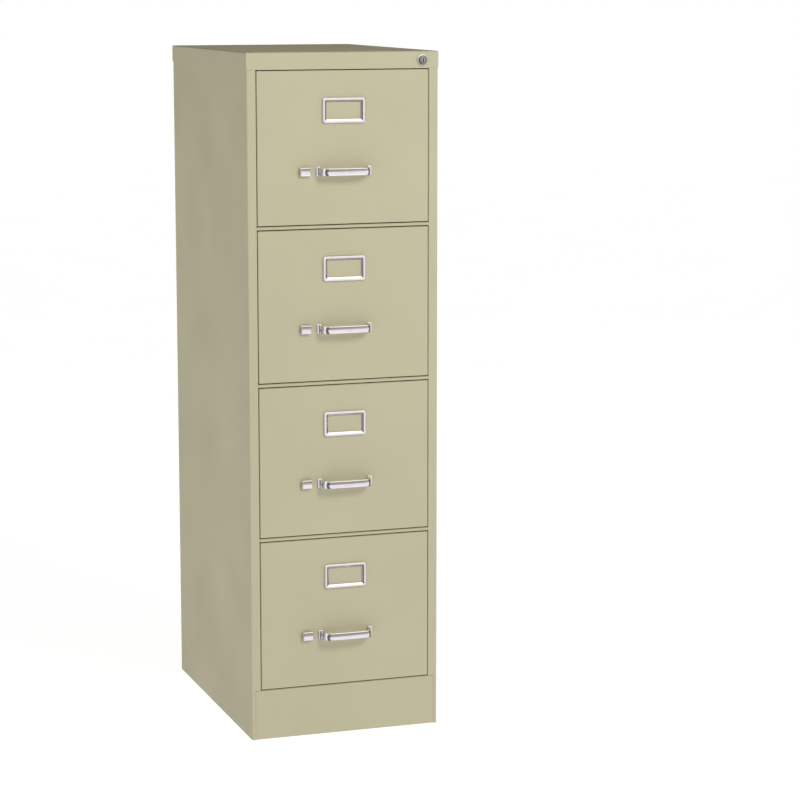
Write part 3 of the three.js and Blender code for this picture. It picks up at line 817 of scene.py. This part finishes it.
def latch():
    """A dished thumb button on a neck, and a bevelled bolt behind the drawer's front."""
    half_x, half_z = 10 * MM, (LATCH_HIGH.z - LATCH_LOW.z) / 2
    face = FRONT_Y - LATCH_LOW.y  # how far the button stands out
    underside = 2.6 * MM  # the button's back, out from the drawer's front
    neck_ends, neck_rims = 1.8 * MM, 2 * MM  # how far the neck is set in from the button
    stations = [  # (in from the left end, inset all round, depth of the hollow), in millimetres
        (0.0, 1.0, 0.0), (0.1, 0.6, 0.0), (0.3, 0.3, 0.0), (0.6, 0.1, 0.0), (1.0, 0.0, 0.0),
        (1.3, 0.0, 0.3), (1.6, 0.0, 1.0), (2.0, 0.0, 1.6), (2.5, 0.0, 1.8), (19.2, 0.0, 1.8),
        (19.6, 0.1, 1.75), (19.85, 0.3, 1.65), (20.0, 0.6, 1.5),
    ]
    loops = []
    for along, inset, hollow in stations:
        height = 2 * (half_z - inset * MM)
        section = handle_section(height, face - underside - inset * MM, hollow * MM)
        x = LATCH_X - half_x + along * MM
        loops.append([(x, LATCH_LOW.y + inset * MM - w, LATCH_Z + z) for z, w in section])
    neck = slab(
        (LATCH_X - half_x + neck_ends, LATCH_X + half_x - neck_ends),
        (FRONT_Y - underside - MM, FRONT_Y - HAIR),
        (LATCH_Z - half_z + neck_rims, LATCH_Z + half_z - neck_rims),
    )
    stem = slab(
        (LATCH_X - STEM_HALF, LATCH_X + STEM_HALF),
        (FRONT_Y - MM, FRONT_Y + BOLT_NEAR + MM),
        (LATCH_Z - STEM_HALF, LATCH_Z + STEM_HALF),
    )
    near, far = FRONT_Y + BOLT_NEAR, FRONT_Y + BOLT_FAR
    nose = [
        (LATCH_LOW.x, near),
        (LATCH_X + 5 * MM, near),
        (LATCH_X + 5 * MM, far),
        (LATCH_LOW.x + 2 * MM, far),
        (LATCH_LOW.x, far - 1.6 * MM),
    ]
    bolt = prism(nose, "z", LATCH_Z - BOLT_HALF, LATCH_Z + BOLT_HALF)
    shape = skin(loops)
    for extra in (neck, stem, bolt):
        shape = boolean(shape, extra, "UNION")
    return shape


def tray_rivets():
    """Low rivet heads inside the tray, where the inner slides are fixed."""
    radius, height, buried = 3.2 * MM, 1.1 * MM, 0.2 * MM
    low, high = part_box("slide_inner_1_right")
    z = (low.z + high.z) / 2
    wall = TRAY_HALF - SHEET
    ring = [math.pi * 2 * i / 20 for i in range(20)]
    heads = []
    for y in (low.y + 30 * MM, low.y + 240 * MM, high.y - 40 * MM):
        loops = []
        for r, rise in dome(radius, height, 5):
            loops.append([(wall - rise, y + r * math.cos(a), z + r * math.sin(a)) for a in ring])
        loops.insert(0, [(wall + buried, py, pz) for _, py, pz in loops[0]])
        heads.append(skin(loops))
    pair = joined(*heads)
    return joined(pair, moved(pair, mirror=True))


def build_drawers():
    frame_bar = label_holder()
    shapes = [  # name, shape, material, body, node, slot, edge
        ("front", drawer_front(), PUTTY, "drawer_{}", "drawer_front", "putty_enamel", EDGE_BREAK),
        ("tray", drawer_tray(), PUTTY, "drawer_{}", "drawer_tray", "putty_enamel", EDGE_BREAK),
        ("rivets", tray_rivets(), ZINC, "drawer_{}", None, "zinc_steel", None),
        ("pull", handle(), PLATE, "drawer_{}", "handle", "bright_plate", None),
        ("card_frame", frame_bar, PLATE, "drawer_{}", "label_holder", "bright_plate", 0.15 * MM),
        ("thumb_latch", latch(), PLATE, "latch_{}", "latch", "bright_plate", 0.2 * MM),
    ]
    for number in DRAWERS:
        drop = (0, 0, -drawer_drop(number))
        for name, shape, material, body, node, slot, edge in shapes:
            stands_for = f"{node}_{number}" if node else None
            mesh = moved(shape, drop)
            put(f"{name}_{number}", mesh, material, body.format(number), stands_for, edge)


# ---- The lock ----


def build_lock():
    """The bezel, the push-in sleeve and the keyed plug, each turned about the lock's axis."""
    low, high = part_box("lock_housing")
    centre = (low + high) / 2
    face = low.y
    bezel, barrel, bore, roll = 11.2 * MM, 9.4 * MM, 7.6 * MM, 1.6 * MM  # radii
    roll_steps = 12
    profile = [(bore, high.y), (bore, FRONT_Y - MM), (bezel - 2 * roll, FRONT_Y - 1.2 * MM)]
    for step in range(roll_steps + 1):
        angle = math.pi * (1 - step / roll_steps)
        radius = bezel - roll + roll * math.cos(angle)
        profile.append((radius, face + roll - roll * math.sin(angle)))
    profile += [(bezel, FRONT_Y - HAIR), (barrel, FRONT_Y - HAIR), (barrel, high.y)]
    ring = revolved(profile, centre)
    put("lock_bezel", ring, PLATE, "case", "lock_housing", None)

    low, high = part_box("lock_plunger")
    rim, inside = high.x - centre.x, 5.3 * MM
    floor = FRONT_Y + 12 * MM
    profile = [
        (0, floor),
        (inside, floor),
        (inside, low.y + 0.7 * MM),
        (inside + 0.2 * MM, low.y + 0.2 * MM),
        (inside + 0.5 * MM, low.y),
        (rim - 0.7 * MM, low.y),
        (rim - 0.25 * MM, low.y + 0.25 * MM),
        (rim, low.y + 0.8 * MM),
        (rim, high.y),
        (0, high.y),
    ]
    sleeve = revolved(profile, centre)
    put("lock_sleeve", sleeve, LOCK_STEEL, "lock_plunger", "lock_plunger", None)

    low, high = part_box("lock_core")
    rim = high.x - centre.x
    profile = [
        (0, low.y),
        (rim - 0.5 * MM, low.y),
        (rim - 0.15 * MM, low.y + 0.15 * MM),
        (rim, low.y + 0.5 * MM),
        (rim, high.y),
        (0, high.y),
    ]
    key_way = [  # a cross: half its width, how far down and how far up, in millimetres
        slab(
            (centre.x - half_width * MM, centre.x + half_width * MM),
            (low.y - MM, FRONT_Y + 2 * MM),
            (centre.z - down * MM, centre.z + up * MM),
        )
        for half_width, down, up in ((0.9, 3.6, 3.6), (1.6, 1.0, 0.4))
    ]
    core = cut(revolved(profile, centre), *key_way)
    put("lock_plug", core, LOCK_STEEL, "lock_core", "lock_core", FINE_EDGE)


def dress_cad_nodes():
    """CAD nodes whose shape is already right keep it, with softened edges and a real finish."""
    for name in ("lock_clip", "lock_bar", "lock_bar_guide_lower", "lock_bar_guide_upper"):
        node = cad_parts[name]
        node.data.materials.clear()
        node.data.materials.append(ZINC)
        soften(node, 0.25 * MM)


# ---- Camera, light and floor ----

CAMERA_PLACE = (-1.487, -4.907, 1.454)  # from a perspective fit to the picture
CAMERA_YAW, CAMERA_PITCH = 19.014, 9.276  # degrees to the right, and down
CAMERA_LENS = 115.8

LAMPS = (  # name, place, target, size, watts
    ("key", (1.25, -3.2, 2.75), (0, 0, 0.9), (1.1, 1.1), 48),
    ("side_fill", (-2.0, 0.0, 0.2), (0, 0, 0.3), (1.0, 1.0), 8.5),
)
FLOOR_RADIUS = 60
FLOOR_GLOW = 0.9
BACKDROP = (1.0, 1.0, 1.0)  # all that the camera sees of the world
SKY = (  # the paint's light from each direction, a product: axis, from, to, light at each end
    ("Y", -0.6, 0.35, 0.58, 0.3),
    ("X", -0.9, 0.0, 0.46, 1.0),
    ("Z", 0.3, 0.95, 1.0, 0.29),
)

# What mirrored rays see, from the lowest direction up: UNDERFOOT, STUDIO_LOW, STUDIO_HIGH and
# OVERHEAD. Each _MEETS gives the Z of the directions between which one fades into the next.
UNDERFOOT = (0.34, 0.31, 0.27)
UNDERFOOT_MEETS_LOW = (-0.75, -0.45)
STUDIO_LOW = (  # bearing from the front, positive to the right, and brightness
    (-180, 0.04), (-152, 0.05), (-140, 1.0), (-75, 1.1), (-62, 0.35), (-50, 0.22), (-42, 0.12),
    (-18, 0.1), (0, 0.22), (12, 0.42), (26, 0.52), (60, 0.54), (74, 0.06), (180, 0.04),
)
LOW_MEETS_HIGH = (-0.32, -0.22)
STUDIO_HIGH = (
    (-180, 0.04), (-152, 0.05), (-140, 1.0), (-75, 1.1), (-62, 0.35), (-50, 0.22), (-42, 0.12),
    (-22, 0.12), (-8, 0.9), (60, 0.92), (74, 0.1), (180, 0.04),
)
HIGH_MEETS_OVERHEAD = (0.55, 0.85)
OVERHEAD = (1.7, 1.63, 1.4)
STUDIO_GREEN = 0.975  # of the bands' red and blue, which makes the plating slightly pink


def build_camera():
    """Stands to the left of the cabinet's middle at eye height and looks slightly down."""
    camera = bpy.data.objects.new("camera", bpy.data.cameras.new("camera"))
    bpy.context.scene.collection.objects.link(camera)
    camera.data.sensor_width = 36
    camera.data.lens = CAMERA_LENS
    camera.location = CAMERA_PLACE
    yaw, pitch = math.radians(CAMERA_YAW), math.radians(CAMERA_PITCH)
    camera.rotation_euler = (math.pi / 2 - pitch, 0, -yaw)
    camera.data.clip_end = 200
    bpy.context.scene.camera = camera


def area_light(name, place, target, size, power):
    """A lamp that lights the paint and is seen neither by the camera nor in the plating."""
    light = bpy.data.lights.new(name, "AREA")
    light.shape = "RECTANGLE"
    light.size, light.size_y = size
    light.energy = power
    lamp = bpy.data.objects.new(name, light)
    lamp.location = place
    lamp.visible_camera = False
    lamp.visible_glossy = False
    lamp.rotation_euler = (Vector(target) - Vector(place)).to_track_quat("-Z", "Y").to_euler()
    bpy.context.scene.collection.objects.link(lamp)


def build_floor():
    """A wide pale sweep that glows a little, as one lit from below does."""
    material, shader, node, link = new_material("floor")
    grain = noise(node, link, 2.0, detail=2.0)
    dark, light = (0.34, 0.34, 0.34), (0.38, 0.38, 0.38)
    link(tinted(node, link, grain, dark, light), shader.inputs["Base Color"])
    shader.inputs["Roughness"].default_value = 0.9
    shader.inputs["Specular IOR Level"].default_value = 0.1
    shader.inputs["Emission Color"].default_value = (1, 1, 1, 1)
    shader.inputs["Emission Strength"].default_value = FLOOR_GLOW
    bm = bmesh.new()
    bmesh.ops.create_circle(bm, cap_ends=True, segments=96, radius=FLOOR_RADIUS)
    mesh = bpy.data.meshes.new("floor")
    bm.to_mesh(mesh)
    bm.free()
    mesh.materials.append(material)
    floor = bpy.data.objects.new("floor", mesh)
    floor.visible_glossy = False
    bpy.context.scene.collection.objects.link(floor)


def build_world():
    """Soft light for the paint, a banded studio for the plating to mirror, and a white backdrop."""
    world = bpy.data.worlds.new("studio")
    bpy.context.scene.world = world
    world.use_nodes = True
    tree = world.node_tree
    link = tree.links.new
    place = tree.nodes.new("ShaderNodeTexCoord").outputs["Generated"]
    parts = tree.nodes.new("ShaderNodeSeparateXYZ")
    link(place, parts.inputs["Vector"])

    def ramp(axis, start, end, at_start, at_end):
        made = tree.nodes.new("ShaderNodeMapRange")
        made.interpolation_type = "SMOOTHSTEP"
        link(parts.outputs[axis], made.inputs["Value"])
        values = {"From Min": start, "From Max": end, "To Min": at_start, "To Max": at_end}
        for name, value in values.items():
            made.inputs[name].default_value = value
        return made.outputs["Result"]

    def mixed(factor, first, second):
        made = tree.nodes.new("ShaderNodeMix")
        made.data_type = "RGBA"
        link(factor, made.inputs["Factor"])
        for source, socket in ((first, made.inputs["A"]), (second, made.inputs["B"])):
            if isinstance(source, tuple):
                socket.default_value = (*source, 1)
            else:
                link(source, socket)
        return made.outputs["Result"]

    level = None
    for limits in SKY:
        if level:
            times = tree.nodes.new("ShaderNodeMath")
            times.operation = "MULTIPLY"
            link(level, times.inputs[0])
            link(ramp(*limits), times.inputs[1])
            level = times.outputs["Value"]
        else:
            level = ramp(*limits)

    # A direction's bearing as a value from 0 to 1, with 0.5 straight out from the drawers.
    turned = tree.nodes.new("ShaderNodeMapping")
    turned.inputs["Rotation"].default_value = (0, 0, math.pi / 2)
    link(place, turned.inputs["Vector"])
    round_about = tree.nodes.new("ShaderNodeTexGradient")
    round_about.gradient_type = "RADIAL"
    link(turned.outputs["Vector"], round_about.inputs["Vector"])

    def banded(studio):
        bands = tree.nodes.new("ShaderNodeValToRGB")
        link(round_about.outputs["Fac"], bands.inputs["Fac"])
        stops = bands.color_ramp.elements
        while len(stops) < len(studio):
            stops.new(0.5)
        for stop, (bearing, brightness) in zip(stops, studio):
            stop.position = 0.5 + bearing / 360
            stop.color = (brightness, brightness * STUDIO_GREEN, brightness, 1)
        return bands.outputs["Color"]

    def fade(heights, lower, upper):
        return mixed(ramp("Z", *heights, 0.0, 1.0), lower, upper)

    mirrored = fade(LOW_MEETS_HIGH, banded(STUDIO_LOW), banded(STUDIO_HIGH))
    mirrored = fade(UNDERFOOT_MEETS_LOW, UNDERFOOT, mirrored)
    mirrored = fade(HIGH_MEETS_OVERHEAD, mirrored, OVERHEAD)

    path = tree.nodes.new("ShaderNodeLightPath").outputs
    lit = tree.nodes["Background"]
    surround = mixed(path["Is Glossy Ray"], level, mirrored)
    link(mixed(path["Is Camera Ray"], surround, BACKDROP), lit.inputs["Color"])


# ---- Build ----

build_camera()
build_world()
build_floor()
for lamp in LAMPS:
    area_light(*lamp)
bpy.context.scene.view_settings.view_transform = "Standard"

build_case()
build_slides()
build_drawers()
build_lock()
dress_cad_nodes()
